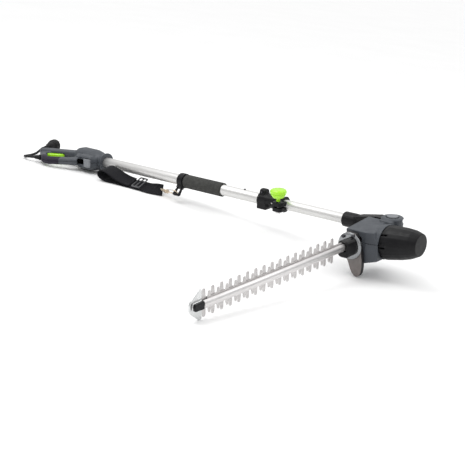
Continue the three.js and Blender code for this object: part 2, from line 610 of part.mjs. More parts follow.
const longTeeth = Array.from({ length: BLADE.long }, (_, i) => BLADE.first - i * BLADE.pitch);
const shortTeeth = Array.from({ length: BLADE.short }, (_, i) => BLADE.first - (i + 0.5) * BLADE.pitch);
const boltPlaces = [3, 8, 13].map((i) => BLADE.first - i * BLADE.pitch);
const LAST_TOOTH = longTeeth[longTeeth.length - 1];
const BAR_END = LAST_TOOTH - 8;
const COMB_X = [BLADE.x - 2.5, BLADE.x - 0.5], CUTTER_X = [BLADE.x - 0.1, BLADE.x + 1.9];
const BAR_X = BLADE.x + 2.3, BAR_DEPTH = 8.5, BAR_HALF = 8.7;

function buildBlades() {
  const combPlate = plate('x', comb(longTeeth, LONG_TIP, LONG_R, 5.2, BLADE_ROOT - 30, LAST_TOOTH - 6),
      COMB_X,
    0, 0, 2);
  piece('comb_blade', cut(combPlate, ...boltPlaces.map((y) => rod('x', 2.4, [740, 760], [y, BLADE.z],
      10))), STEEL);

  const slot = (y) => block([740, 760], [y - CRANK - 3.4, y + CRANK + 3.4], [BLADE.z - 3, BLADE.z + 3]);
  const cutter = plate('x', comb(shortTeeth, SHORT_TIP, SHORT_R, 4, BLADE_ROOT - 9, shortTeeth[15] - 5),
      CUTTER_X,
    0, 0, 2);
  const tail = block(CUTTER_X, [BLADE_ROOT - 12, GEAR.y - 5], [BLADE.z - 5, BLADE.z + 5]);
  const eye = rod('x', 9, CUTTER_X, [GEAR.y, GEAR.z + CRANK], 20);
  const opening = rod('x', 4, [740, 760], [GEAR.y, GEAR.z + CRANK], 16);
  piece('cutting_blade', cut(join(cutter, tail, eye), opening, ...boltPlaces.map(slot)), STEEL);

  const arch = new THREE.Shape();
  const inner = BAR_HALF - 1.8;
  arch.moveTo(BLADE.z + BAR_HALF, BAR_X);
  arch.absellipse(BLADE.z, BAR_X + 2.5, BAR_HALF, BAR_DEPTH - 2.5, 0, Math.PI, false, 0);
  arch.lineTo(BLADE.z - BAR_HALF, BAR_X);
  arch.lineTo(BLADE.z - inner, BAR_X);
  arch.absellipse(BLADE.z, BAR_X + 2.2, inner, BAR_DEPTH - 4.3, Math.PI, 0, true, 0);
  arch.lineTo(BLADE.z + inner, BAR_X);
  arch.closePath();
  const channel = new THREE.ExtrudeGeometry(arch,
    { depth: BLADE_ROOT - 2 - BAR_END, curveSegments: 4, bevelEnabled: false });
  const lie = new THREE.Matrix4().set(0, 1, 0, 0, 0, 0, 1, BAR_END, 1, 0, 0, 0, 0, 0, 0, 1);
  const posts = boltPlaces.map((y) => rod('x', 4, [BAR_X, BAR_X + BAR_DEPTH - 1], [y, BLADE.z], 12));
  const threads = boltPlaces.map((y) => rod('x', 2.3, [BAR_X - 2, BAR_X + 4], [y, BLADE.z], 10));
  piece('guide_bar', cut(join(channel.applyMatrix4(lie), ...posts), ...threads), STEEL);

  boltPlaces.forEach((y, i) => {
    const head = COMB_X[0] - GAP;
    piece(`blade_bolt_${i + 1}`, turned('x', [[head - 3.2, 0], [head - 3.2, 5], [head, 5], [head, 2],
      [BAR_X + 3.6, 2], [BAR_X + 3.6, 0]], [y, BLADE.z], 12), DARK_STEEL);
  });

  const back = BAR_END - 0.5, front = BAR_END - 34;
  const shield = [[back, 30], [back - 8, 30], [front + 4, 13], [front, 6], [front, -6], [front + 4, -13],
    [back - 8, -30], [back, -30]].map(([y, z]) => [y, z + BLADE.z]);
  const socket = plate('x', [[back, -8], [back, 8], [front + 9, 7], [front + 7, 0], [front + 9, -7]]
    .map(([y, z]) => [y, z + BLADE.z]), [BLADE.x + 1, BAR_X + BAR_DEPTH - 1.5]);
  piece('tip_guard', join(plate('x', shield, [BLADE.x - 2.5, BLADE.x + 2], 0.8, 1), socket), STEEL);
}

// ---- blade root: nose plate, the collar round the blades and the hand guard ----
const noseBolts = [[727, 1], [752, 6], [738, -45]];
function buildNose() {
  const at = [NOSE.x, NOSE.z];
  const slot = block([COMB_X[0] - 1, BAR_X + BAR_DEPTH + 0.6], [-140, -80],
      [BLADE.z - 11.4, BLADE.z + 11.4]);
  const disc = turned('y', [[NOSE.front, 0], [NOSE.front, NOSE.r - 5], [NOSE.front + 3, NOSE.r],
    [NOSE.rear - GAP - 12.6, NOSE.r], [NOSE.rear - GAP - 12.6, 24], [NOSE.rear - GAP, 24],
        [NOSE.rear - GAP, 0]], at, 28);
  const boltHoles = noseBolts.map((place) => rod('y', 2.6, [-125, -80], place, 10));
  piece('gear_case_nose', cut(disc, slot, ...boltHoles), STEEL);
  noseBolts.forEach((place, i) => piece(`nose_bolt_${i + 1}`, turned('y', [[NOSE.front - 4, 0],
    [NOSE.front - 4, 3.6], [NOSE.front - GAP, 3.6], [NOSE.front - GAP, 2.2], [NOSE.front + 14, 2.2],
    [NOSE.front + 14, 0]], place, 10), DARK_STEEL));

  const boss = rounded([[736, -36, 9], [764, -36, 9], [764, 2, 9], [736, 2, 9]]);
  const passage = [
    block([COMB_X[0] - 0.9, BAR_X - 0.1], [-160, -80], [BLADE.z - 11, BLADE.z + 11]),
    block([BAR_X - 0.2, BAR_X + BAR_DEPTH + 0.6], [-160, -80],
        [BLADE.z - BAR_HALF - 0.5, BLADE.z + BAR_HALF + 0.5]),
  ];
  piece('root_collar', cut(plate('y', boss, [-150, NOSE.front - GAP], 3, 1, 3), ...passage), BLACK);

  const shield = new THREE.Shape();
  shield.moveTo(754, 9);
  shield.quadraticCurveTo(768, -14, 772, -48);
  shield.quadraticCurveTo(776, -86, 759, -90);
  shield.quadraticCurveTo(746, -88, 738, -64);
  shield.quadraticCurveTo(733, -50, 727, -44);
  shield.quadraticCurveTo(714, -36, 713, -18);
  shield.quadraticCurveTo(716, 5, 734, 11);
  shield.closePath();
  const rimFront = -107, rimBack = -95;
  const outer = plate('y', shield, [rimFront, rimBack], 1, 1);
  const dish = new THREE.ExtrudeGeometry(shield, {
    depth: 20, curveSegments: 5, bevelEnabled: true, bevelSize: 0.1, bevelThickness: 0.1,
    bevelOffset: -3.4, bevelSegments: 1,
  }).applyMatrix4(new THREE.Matrix4().set(1, 0, 0, 0, 0, 0, -1, rimFront + 23, 0, 1, 0, 0, 0, 0, 0, 1));
  const opening = rod('y', 24 + GAP, [-125, -80], at, 28);
  const passages = noseBolts.map((place) => rod('y', 2.6, [-125, -80], place, 10));
  piece('hand_guard', cut(outer, dish, opening, ...passages), SMOKED);
}

buildHandle();
buildGland();
buildPole();
buildBracket();
buildClamp();
buildArm();
buildHousing();
buildMotor();
buildGears();
buildBlades();
buildNose();

// ---- resting plane: the handle, the hand guard and the tip guard each touch the floor at one point ----
function restingPlane(names) {
  const feet = names.map((name) => model.getObjectByName(name).geometry.attributes.position);
  const up = new THREE.Vector3(0, 0, 1), lowest = names.map(() => new THREE.Vector3());
  const corner = new THREE.Vector3();
  for (let turn = 0; turn < 12; turn += 1) {
    feet.forEach((position, k) => {
      let least = Infinity;
      for (let i = 0; i < position.count; i += 1) {
        corner.fromBufferAttribute(position, i);
        if (corner.dot(up) < least) {
          least = corner.dot(up);
          lowest[k].copy(corner);
        }
      }
    });
    up.crossVectors(lowest[1].clone().sub(lowest[0]), lowest[2].clone().sub(lowest[0])).normalize();
    if (up.z < 0) up.negate();
  }
  return new THREE.Plane().setFromNormalAndCoplanarPoint(up, lowest[0]);
}
const floor = restingPlane(['handle_shell_left', 'hand_guard', 'tip_guard']);

// The point at (x, y) that is `height` above the floor.
function above([x, y], height) {
  const { x: a, y: b, z: c } = floor.normal;
  return new THREE.Vector3(x, y, (height - floor.constant - a * x - b * y) / c);
}

// ---- shoulder strap: webbing folded over on itself, its near edge on the floor ----
// Stations: near edge x, y and height, then the way across to the far edge.
const strapRun = [
  [76, -21, 1.8, -25, 33, 21], [58, -29, 1.6, -23, 34, 21], [36, -38, 1.5, -18, 38, 18],
      [0, -40, 1.5, -12, 41, 16],
  [-34, -47, 1.5, -8, 43, 14], [-71, -53, 1.5, -5, 45, 12], [-98, -62, 2.2, -2, 45, 11],
      [-114, -66, 6, 0, 45, 10],
  [-124, -67, 13, 0, 45, 10], [-126, -67, 21, 0, 45, 10], [-119, -67, 28, 0, 45, 10],
      [-107, -66, 30, -1, 45, 10],
  [-90, -62, 25, -3, 45, 11], [-68, -56, 15, -5, 45, 12], [-44, -50, 8, -8, 43, 14],
      [-26, -46, 6, -9, 43, 14],
];

function ribbon(stations, thickness) {
  const edges = stations.map(([x, y, height, dx, dy, rise]) => [
    above([x, y], height), above([x + dx, y + dy], height + rise)]);
  const corners = edges.flatMap(([near, far], i) => {
    const before = edges[Math.max(i - 1, 0)][0], after = edges[Math.min(i + 1, edges.length - 1)][0];
    const out = after.clone().sub(before).cross(far.clone().sub(near)).normalize().multiplyScalar(thickness / 2);
    return [near.clone().sub(out), far.clone().sub(out), far.clone().add(out), near.clone().add(out)];
  });
  return tubeOf(corners, 4);
}

// A closed solid through rings of corners, capped at both ends.
function tubeOf(corners, sides) {
  const rings = corners.length / sides, index = [];
  for (let r = 0; r + 1 < rings; r += 1) {
    for (let k = 0; k < sides; k += 1) {
      const [a, b] = [r * sides + k, r * sides + (k + 1) % sides];
      index.push(a, b, b + sides, a, b + sides, a + sides);
    }
  }
  for (let k = 1; k + 1 < sides; k += 1) {
    const last = (rings - 1) * sides;
    index.push(0, k + 1, k, last, last + k, last + k + 1);
  }
  const geometry = new THREE.BufferGeometry();
  geometry.setAttribute('position', new THREE.BufferAttribute(new Float32Array(corners.flatMap((c) => [...c])), 3));
  geometry.setIndex(index);
  return geometry;
}

// Places a geometry drawn along +X, with +Y across, so that it lies along u with v across.
function laid(geometry, origin, u, across) {
  const along = u.clone().normalize();
  const side = across.clone().addScaledVector(along, -across.dot(along)).normalize();
  const frame = new THREE.Matrix4().makeBasis(along, side, along.clone().cross(side)).setPosition(origin);
  return geometry.applyMatrix4(frame);
}

function buildStrap() {
  piece('shoulder_strap', ribbon(strapRun, STRAP_THICK), WEBBING);

  // slider buckle on top of the two layers
  const near = above([-3, -43], 8.6), far = above([-13, 1.5], 24.5);
  const across = far.clone().sub(near), along = above([22, -38], 8.6).sub(near);
  const frame = rounded([[-13, -2, 3], [13, -2, 3], [13, 48, 3], [-13, 48, 3]]);
  for (const u of [-9.5, 2]) {
    frame.holes.push(rounded([[u, 2, 1], [u + 7.5, 2, 1], [u + 7.5, 44, 1], [u, 44, 1]], new THREE.Path()));
  }
  piece('strap_buckle', laid(plate('z', frame, [0, 2.6], 0.6, 1, 1), near, along, across), BLACK);
}

// ---- snap hook between the strap and the bracket's eye ----
// Drawn with +X from the bracket towards the strap and +Y across the ring.
const HOOK = { at: [127, -24.1, -26.8], to: [68, -9.5, -38.6], length: 36, half: 8, wire: 1.7 };

function buildHook() {
  const origin = new THREE.Vector3(...HOOK.at), along = new THREE.Vector3(...HOOK.to).sub(origin);
  const across = new THREE.Vector3(0, -Math.sin(degrees(LOOP_DROP)), Math.cos(degrees(LOOP_DROP)));
  const set = (geometry) => laid(geometry, origin, along, across);
  const { length, half, wire } = HOOK;
  const ring = bentBar([[25, half + 0.4, 0], [30, half - 0.6, 0], [length, 0, 0], [29, -half + 0.6, 0],
    [14, -half, 0], [0, -half, 0], [-5.4, -half + 3, 0], [-6.8, 0, 0], [-5.4, half - 3, 0],
        [-1, half - 0.4, 0]], wire, 8, 22);
  const neck = rod('x', 3.4, [length - 1.5, length + 4], [0, 0], 12);
  piece('snap_hook', set(join(ring, neck)), BRASS);
  piece('hook_gate', set(rod('x', 1.5, [1.2, 22.8], [half, 0], 8)), STEEL);
  const [reach, wide] = [length + 4 + GAP, 8];
  const eye = bentBar([[reach + 9, -wide, 0], [reach + 12, -wide, 0], [reach + 18, -wide - 2, 0],
    [reach + 21, -wide + 2, 0], [reach + 21, wide - 2, 0], [reach + 18, wide + 2, 0], [reach + 12, wide, 0],
    [reach + 9, wide, 0]], wide / 6, 6, 18);
  const bridge = block([reach + 5, reach + 10], [-wide - 1.5, wide + 1.5], [-2, 2]);
  piece('hook_swivel', set(join(eye, bridge, rod('x', 4.4, [reach, reach + 7], [0, 0], 12))), BRASS);
}

// ---- mains lead: a short free cord that ends in a round two-pin plug standing on its rim ----
const PLUG = { at: [-432, 38], towards: [-0.25, 0.97], back: 42 };

function cordPath() {
  const turn = degrees(GLAND.turn);
  const leave = (distance) => new THREE.Vector3(Math.cos(turn), Math.sin(turn), 0).multiplyScalar(distance)
    .add(new THREE.Vector3(...GLAND.at, 0));
  const centre = above(PLUG.at, PLUG_R);
  const into = above([PLUG.at[0] + PLUG.towards[0], PLUG.at[1] + PLUG.towards[1]],
      PLUG_R).sub(centre).normalize();
  const end = centre.clone().addScaledVector(into, -PLUG.back - GAP);
  return [leave(GLAND.length + GAP), leave(GLAND.length + 12), above([-385, -101], 10),
      above([-402, -93], 6),
    above([-411, -76], CORD_R + 0.3), above([-416, -52], CORD_R + 0.3), above([-420, -32], 7),
    end.clone().addScaledVector(into, -10), end];
}

function buildLead() {
  const points = cordPath();
  const path = new THREE.CatmullRomCurve3(points, false, 'centripetal');
  const ring = new THREE.Shape();
  ring.absarc(0, 0, CORD_R, 0, 2 * Math.PI);
  piece('mains_cord', new THREE.ExtrudeGeometry(ring,
    { steps: 20, curveSegments: 4, bevelEnabled: false, extrudePath: path }), BLACK);

  const centre = above(PLUG.at, PLUG_R);
  const axis = points.at(-1).clone().sub(points.at(-2)).normalize();
  const body = turned('x', [[-PLUG.back, 0], [-PLUG.back, 4.6], [-26, 6.5], [-24, 10], [-8, 13.5],
      [-5, PLUG_R - 1.5],
    [-3, PLUG_R], [10, PLUG_R], [12, PLUG_R - 1], [12, 0]], [0, 0], 24);
  const pins = [-9.5, 9.5].map((y) => rod('x', 2.4, [6, 31], [y, 0], 10));
  const fork = join(body, ...pins);
  piece('mains_plug', laid(fork, centre, axis, new THREE.Vector3(0, 0, 1)), BLACK);
}

buildStrap();
buildHook();
buildLead();

// ---- lay everything down: the resting plane to z = 0, the pole along +X, bounding box centred ----
function settle() {
  const up = floor.normal;
  const ahead = new THREE.Vector3(1, 0, 0).addScaledVector(up, -up.x).normalize();
  const turn = new THREE.Matrix4().makeBasis(ahead, up.clone().cross(ahead), up).invert();
  const box = new THREE.Box3();
  for (const mesh of model.children) {
    mesh.geometry.applyMatrix4(turn);
    mesh.geometry.computeBoundingBox();
    if (!['mains_cord', 'mains_plug'].includes(mesh.name)) box.union(mesh.geometry.boundingBox);
  }
  const centre = box.getCenter(new THREE.Vector3());
  const shift = new THREE.Vector3(-centre.x, -centre.y, -box.min.z);
  for (const mesh of model.children) mesh.geometry.translate(...shift);
}
settle();

export default model;
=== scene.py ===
"""Hedge trimmer with a telescopic pole, lying on its side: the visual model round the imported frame."""
import json
import math

import bpy
import bmesh
from mathutils import Matrix, Vector


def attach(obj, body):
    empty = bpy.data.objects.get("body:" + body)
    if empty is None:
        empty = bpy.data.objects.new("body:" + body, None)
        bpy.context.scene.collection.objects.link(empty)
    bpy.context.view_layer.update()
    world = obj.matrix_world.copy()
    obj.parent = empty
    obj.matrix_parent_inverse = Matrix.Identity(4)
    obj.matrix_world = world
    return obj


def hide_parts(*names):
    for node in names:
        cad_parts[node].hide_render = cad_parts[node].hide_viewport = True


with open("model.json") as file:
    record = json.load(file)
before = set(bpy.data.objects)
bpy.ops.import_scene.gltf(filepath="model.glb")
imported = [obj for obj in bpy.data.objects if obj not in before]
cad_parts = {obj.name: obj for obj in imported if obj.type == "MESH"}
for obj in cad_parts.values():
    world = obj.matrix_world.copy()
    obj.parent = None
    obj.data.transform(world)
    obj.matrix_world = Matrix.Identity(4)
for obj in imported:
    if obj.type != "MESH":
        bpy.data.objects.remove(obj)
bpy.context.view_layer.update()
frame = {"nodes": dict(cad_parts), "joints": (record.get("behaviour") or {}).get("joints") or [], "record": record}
MM = 0.001

# ---- the tool's own axes, from the joints ----
joints = {j["name"]: j for j in frame["joints"]}
POLE = Vector(joints["pole_extend"]["axis"]).normalized()      # along the pole, towards the head
SIDE = Vector(joints["head_pivot"]["axis"]).normalized()       # across the tool, up as it lies
TOP = SIDE.cross(POLE)                                         # the tool's top in use
PIVOT_X, PIVOT_Z = 780, 20                                     # the head pivot in the tool's axes, mm
ORIGIN = Vector(joints["head_pivot"]["pos_m"]) - (PIVOT_X * POLE + PIVOT_Z * SIDE) * MM


def tool(x, y, z):
    """A point given in the tool's axes, in millimetres from the pole's axis."""
    return ORIGIN + (x * POLE + y * TOP + z * SIDE) * MM


def above(x, y, height):
    """The point over the tool's (x, y) that is that many millimetres above the floor."""
    point = tool(x, y, 0)
    return point + SIDE * ((height * MM - point.z) / SIDE.z)


def direction(x, y, z):
    return (x * POLE + y * TOP + z * SIDE).normalized()


# ---- camera, fitted to the photograph, in the tool's axes ----
LENS, SENSOR = 84.2, 36                                        # mm
CAMERA_AT = (2031.6, -2016.2, 734.4)                           # mm
CAMERA_RIGHT = (0.758285, 0.651887, 0.006862)
CAMERA_UP = (-0.201993, 0.224928, 0.953208)
CAMERA_SEES = 50                                               # metres


def place_camera():
    data = bpy.data.cameras.new("camera")
    data.lens, data.sensor_width = LENS, SENSOR
    data.clip_end = CAMERA_SEES
    camera = bpy.data.objects.new("camera", data)
    bpy.context.scene.collection.objects.link(camera)
    right, up = direction(*CAMERA_RIGHT), direction(*CAMERA_UP)
    turn = Matrix((right, up, right.cross(up))).transposed().to_4x4()
    camera.matrix_world = Matrix.Translation(tool(*CAMERA_AT)) @ turn
    bpy.context.scene.camera = camera


# ---- mesh helpers ----
def add_object(name, bm, material):
    """The piece made from `bm`, smooth shaded and fixed to the handle."""
    bmesh.ops.recalc_face_normals(bm, faces=bm.faces)
    mesh = bpy.data.meshes.new(name)
    bm.to_mesh(mesh)
    bm.free()
    obj = bpy.data.objects.new(name, mesh)
    bpy.context.scene.collection.objects.link(obj)
    mesh.materials.append(material)
    mesh.polygons.foreach_set("use_smooth", [True] * len(mesh.polygons))
    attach(obj, "handle")
    return obj


def basis(along, hint):
    """Rotation whose x axis is `along`, with y as near as it can be to `hint`."""
    x = along.normalized()
    y = (hint - x * hint.dot(x)).normalized()
    return Matrix((x, y, x.cross(y))).transposed()


def lathe(name, profile, origin, along, hint, sides, material, flutes=0, flute_depth=0.0,
          fluted=(0, 0)):
    """A turned solid round `along`: profile is (distance, radius) in mm, fluted between two distances."""
    bm = bmesh.new()
    turn = basis(along, hint)
    rings = []
    for distance, radius in profile:
        ring = []
        for k in range(sides):
            a = 2 * math.pi * k / sides
            r = radius
            if flutes and fluted[0] <= distance <= fluted[1]:
                r -= flute_depth * (0.5 - 0.5 * math.cos(flutes * a))
            offset = Vector((distance, r * math.cos(a), r * math.sin(a))) * MM
            ring.append(bm.verts.new(origin + turn @ offset))
        rings.append(ring)
    for low, high in zip(rings, rings[1:]):
        for k in range(sides):
            bm.faces.new((low[k], low[(k + 1) % sides], high[(k + 1) % sides], high[k]))
    bm.faces.new(rings[0][::-1])
    bm.faces.new(rings[-1])
    return add_object(name, bm, material)


def spline(points, per_span):
    """Points along a centripetal Catmull-Rom curve through the given ones."""
    def between(p, q, start, end, at):
        return p * ((end - at) / (end - start)) + q * ((at - start) / (end - start))

    ends = [points[0] * 2 - points[1], *points, points[-1] * 2 - points[-2]]
    out = []
    for p0, p1, p2, p3 in zip(ends, ends[1:], ends[2:], ends[3:]):
        t = [0.0]
        for a, b in ((p0, p1), (p1, p2), (p2, p3)):
            t.append(t[-1] + max((b - a).length, 1e-9) ** 0.5)
        for k in range(per_span):
            s = t[1] + (t[2] - t[1]) * k / per_span
            a1 = between(p0, p1, t[0], t[1], s)
            a2 = between(p1, p2, t[1], t[2], s)
            a3 = between(p2, p3, t[2], t[3], s)
            b1 = between(a1, a2, t[0], t[2], s)
            b2 = between(a2, a3, t[1], t[3], s)
            out.append(between(b1, b2, t[1], t[2], s))
    out.append(points[-1].copy())
    return out


# ---- materials ----
COLOR_A, COLOR_B, COLOR_OUT = 6, 7, 2                          # the Mix node's colour sockets
GRAIN_HEIGHT = 0.0004                                          # metres
WORN_FROM, WORN_TO = 0.53, 0.6                                 # pointiness where an edge starts to wear
COAT_ROUGHNESS = 0.15
MASK_SHARPNESS = 1500                                          # per metre past a mask's plane


class Nodes:
    """A short way to wire a material's nodes."""

    def __init__(self, name):
        self.material = bpy.data.materials.new(name)
        self.material.use_nodes = True
        self.tree = self.material.node_tree
        self.shader = self.tree.nodes["Principled BSDF"]

    def add(self, kind, **inputs):
        node = self.tree.nodes.new(kind)
        for key, value in inputs.items():
            self.put(node, key.replace("_", " "), value)
        return node

    def put(self, node, key, value):
        """Links a socket or sets its value; `key` is its name, or its number as a string."""
        socket = node.inputs[int(key)] if key.isdigit() else node.inputs[key]
        if isinstance(value, bpy.types.NodeSocket):
            self.tree.links.new(value, socket)
        else:
            socket.default_value = value

    def math(self, operation, a, b=0.0, clamp=False):
        node = self.tree.nodes.new("ShaderNodeMath")
        node.operation, node.use_clamp = operation, clamp
        self.put(node, "0", a)
        self.put(node, "1", b)
        return node.outputs[0]

    def place(self, stretch=(1, 1, 1)):
        coord = self.tree.nodes.new("ShaderNodeTexCoord")
        mapping = self.add("ShaderNodeMapping", Vector=coord.outputs["Object"], Scale=stretch)
        return mapping.outputs[0]

    def noise(self, vector, scale, detail=3.0):
        return self.add("ShaderNodeTexNoise", Vector=vector, Scale=scale, Detail=detail).outputs[0]

    def between(self, factor, low, high, start=0.3, end=0.7):
        node = self.add("ShaderNodeMapRange", Value=factor, From_Min=start, From_Max=end, To_Min=low,
                        To_Max=high)
        return node.outputs[0]

    def mix(self, factor, a, b):
        node = self.tree.nodes.new("ShaderNodeMix")
        node.data_type = "RGBA"
        self.put(node, "0", factor)
        for index, value in ((COLOR_A, a), (COLOR_B, b)):
            if isinstance(value, bpy.types.NodeSocket):
                self.tree.links.new(value, node.inputs[index])
            else:
                node.inputs[index].default_value = (*value, 1)
        return node.outputs[COLOR_OUT]

    def past(self, axis, start, sign=1):
        """1 beyond the plane that lies `start` mm along `axis` from the tool's origin, 0 before it."""
        place = self.tree.nodes.new("ShaderNodeNewGeometry").outputs["Position"]
        offset = self.tree.nodes.new("ShaderNodeVectorMath")
        offset.operation = "DOT_PRODUCT"
        self.tree.links.new(place, offset.inputs[0])
        offset.inputs[1].default_value = axis
        away = self.math("SUBTRACT", offset.outputs["Value"], ORIGIN.dot(axis) + start * MM)
        return self.math("MULTIPLY", away, MASK_SHARPNESS * sign, True)

    def all_of(self, first, *others):
        for mask in others:
            first = self.math("MULTIPLY", first, mask)
        return first

    def bump(self, height, strength, distance):
        node = self.add("ShaderNodeBump", Height=height, Strength=strength, Distance=distance)
        self.put(self.shader, "Normal", node.outputs[0])


def surface(name, light, dark, rough, metal=0.0, blotch=40, grain=900, grain_depth=0.1,
            stretch=(1, 1, 1), coat=0.0, wear=0.0, shine=0.5, overlay=None):
    """A procedural finish: two tones, uneven roughness, a fine grain and slightly lighter worn edges."""
    n = Nodes(name)
    where = n.place(stretch)
    tone = n.between(n.noise(where, blotch), 0.0, 1.0)
    color = n.mix(tone, dark, light)
    if wear:
        geometry = n.tree.nodes.new("ShaderNodeNewGeometry")
        edge = n.between(geometry.outputs["Pointiness"], 0.0, wear, WORN_FROM, WORN_TO)
        color = n.mix(edge, color, tuple(min(1, c * 2 + 0.06) for c in light))
    roughness = n.between(n.noise(where, blotch * 2.3), *rough)
    if overlay:
        color, roughness = overlay(n, color, roughness)
    n.put(n.shader, "Base Color", color)
    n.put(n.shader, "Roughness", roughness)
    n.shader.inputs["Metallic"].default_value = metal
    n.shader.inputs["Specular IOR Level"].default_value = shine
    n.shader.inputs["Coat Weight"].default_value = coat
    n.shader.inputs["Coat Roughness"].default_value = COAT_ROUGHNESS
    n.bump(n.noise(where, grain, 2.0), grain_depth, GRAIN_HEIGHT)
    return n.material


# The overmoulding's ends along the pole, and the line of the finger opening above it, mm.
GRIP_REAR, GRIP_FRONT, GRIP_TOP = -334, -268, 64.5
GRIP_SLOPE = (-0.42, 0.91, 0)
BLADE_X, BLADE_Z = 747, -12                                    # the blades' plane and middle line, mm
# Half the width of the band of painted socket shade on the tip guard, and how far past the blades' plane it
# starts, mm.
SOCKET_HALF, SOCKET_LIFT = 9.5, 3


def soft_grip(n, color, roughness):
    """The dark overmoulding on the lower bar of the D-handle, bounded by planes in the tool's axes."""
    mask = n.all_of(n.past(POLE, GRIP_REAR), n.past(POLE, GRIP_FRONT, -1),
                    n.past(direction(*GRIP_SLOPE), GRIP_TOP, -1))
    rougher = n.math("ADD", roughness, n.math("MULTIPLY", mask, 0.25))
    return n.mix(mask, color, (0.021, 0.017, 0.03)), rougher


def painted_socket_shade(n, color, roughness):
    """Painted shade: the tip guard's socket, the hollow between its bright fins, is painted dark for the shade
    that lies in it as the tool lies at rest.
    """
    mask = n.all_of(n.past(POLE, BLADE_X + SOCKET_LIFT), n.past(SIDE, BLADE_Z - SOCKET_HALF),
                    n.past(SIDE, BLADE_Z + SOCKET_HALF, -1))
    # Near-black painted shade over the socket's band.
    return n.mix(mask, color, (0.02, 0.021, 0.022)), roughness


WEFT_PITCH, WARP_PITCH = 0.0016, 0.0026                        # metres


def woven(name):
    """Webbing: crossed ribs along and across the tape, from its own UV map in metres."""
    n = Nodes(name)
    uv = n.tree.nodes.new("ShaderNodeTexCoord").outputs["UV"]
    split = n.tree.nodes.new("ShaderNodeSeparateXYZ")
    n.tree.links.new(uv, split.inputs[0])
    across, along = split.outputs[0], split.outputs[1]

    def ribs(value, pitch):
        return n.math("SINE", n.math("MULTIPLY", value, 2 * math.pi / pitch))

    weft, warp = ribs(along, WEFT_PITCH), ribs(across, WARP_PITCH)
    weave = n.math("ADD", n.math("MULTIPLY", weft, warp), n.math("MULTIPLY", warp, 0.6))
    fuzz = n.noise(n.place(), 700)
    tone = n.between(n.math("ADD", weave, n.math("MULTIPLY", fuzz, 1.2)), 0.0, 1.0, -1.0, 2.4)
    n.put(n.shader, "Base Color", n.mix(tone, (0.004, 0.004, 0.005), (0.017, 0.017, 0.021)))
    n.put(n.shader, "Roughness", n.between(fuzz, 0.72, 0.95))
    n.shader.inputs["Sheen Weight"].default_value = 0.06
    n.shader.inputs["Specular IOR Level"].default_value = 0.12
    n.bump(weave, 0.5, 0.0003)
    return n.material


BRUSHED_ALONG, GROUND_ALONG = (1, 14, 14), (9, 1, 9)           # noise stretch of the tubes and blades
GREY = ((0.068, 0.075, 0.086), (0.053, 0.059, 0.069), (0.36, 0.5))


def make_plastics():
    return {
        "housing_grey": surface("moulded grey", *GREY, wear=0.3, shine=0.3),
        "handle_grey": surface("moulded grey with soft grip", *GREY, wear=0.3, shine=0.3, overlay=soft_grip),
        "lime": surface("lime gloss", (0.42, 0.86, 0.02), (0.37, 0.78, 0.015), (0.22, 0.34), coat=0.3,
                        grain_depth=0.04),
        "light_grey": surface("moulded light grey", (0.2, 0.21, 0.225), (0.16, 0.17, 0.185), (0.4, 0.55)),
        "black_plastic": surface("moulded black", (0.0065, 0.0065, 0.0075), (0.004, 0.004, 0.005),
                                 (0.32, 0.46), grain_depth=0.18, wear=0.15, shine=0.2),
        "buckle": surface("slider", (0.075, 0.077, 0.082), (0.05, 0.051, 0.055), (0.3, 0.42), wear=0.3),
        "smoked": surface("smoked guard", (0.15, 0.128, 0.12), (0.115, 0.098, 0.092), (0.12, 0.24),
                          coat=0.5, grain_depth=0.03),
        "guard_rim": surface("guard rim", (0.02, 0.019, 0.02), (0.014, 0.013, 0.014), (0.35, 0.5),
                             shine=0.2),
    }


def make_metals():
    return {
        "aluminium": surface("satin tube", (0.7, 0.695, 0.685), (0.63, 0.625, 0.615), (0.36, 0.46), 0.75,
                             blotch=25, grain=300, grain_depth=0.04, stretch=BRUSHED_ALONG),
        "steel": surface("ground steel", (0.66, 0.64, 0.635), (0.56, 0.545, 0.54), (0.34, 0.48), 0.9,
                         blotch=60, grain=500, grain_depth=0.1, stretch=GROUND_ALONG, wear=0.4),
        # The tip guard's finish carries painted shade in its socket.
        "tip": surface("tip guard steel", (0.72, 0.73, 0.73), (0.6, 0.61, 0.61), (0.25, 0.36), 0.9,
                       blotch=60, grain=500, overlay=painted_socket_shade),
        "nose": surface("turned nose", (0.33, 0.34, 0.35), (0.24, 0.25, 0.26), (0.18, 0.3), 0.8, blotch=70),
        "dark_steel": surface("blackened steel", (0.09, 0.09, 0.1), (0.05, 0.05, 0.055), (0.35, 0.55), 1.0),
        "copper": surface("bare copper", (0.75, 0.33, 0.16), (0.6, 0.24, 0.12), (0.3, 0.45), 1.0),
        "pale_brass": surface("pale plated hook", (0.78, 0.68, 0.55), (0.7, 0.58, 0.44), (0.25, 0.4), 0.8),
    }


def make_soft_materials():
    return {
        "foam": surface("foam sleeve", (0.045, 0.045, 0.042), (0.028, 0.028, 0.026), (0.8, 0.95),
                        blotch=120, grain=1600, grain_depth=0.55),
        "cord_rubber": surface("flexible rubber", (0.018, 0.018, 0.02), (0.011, 0.011, 0.012), (0.5, 0.68),
                               shine=0.2),
        "webbing": woven("woven webbing"),
    }


# ---- finishes and softened edges on the CAD nodes ----
# Moulded shells, with edges rounded as a mould rounds them: voxel size in mm and smoothing steps.
REMESHED = {
    "head_shell_right": (1.1, 9), "head_shell_left": (1.1, 9), "handle_shell_right": (1.0, 7),
    "handle_shell_left": (1.0, 7), "clamp_body": (0.8, 4), "pivot_arm": (0.8, 6), "motor_cap": (1.0, 5),
    "root_collar": (0.7, 5), "gear_case_nose": (0.8, 3), "tip_guard": (0.7, 5), "lock_off_button": (0.6, 4),
    "trigger_lever": (0.6, 4), "strap_bracket": (0.7, 5),
}
# Nodes with a finish other than their slot's.
FINISHES = {"handle_shell_right": "handle_grey", "handle_shell_left": "handle_grey",
            "strap_buckle": "buckle", "tip_guard": "tip", "gear_case_nose": "nose"}
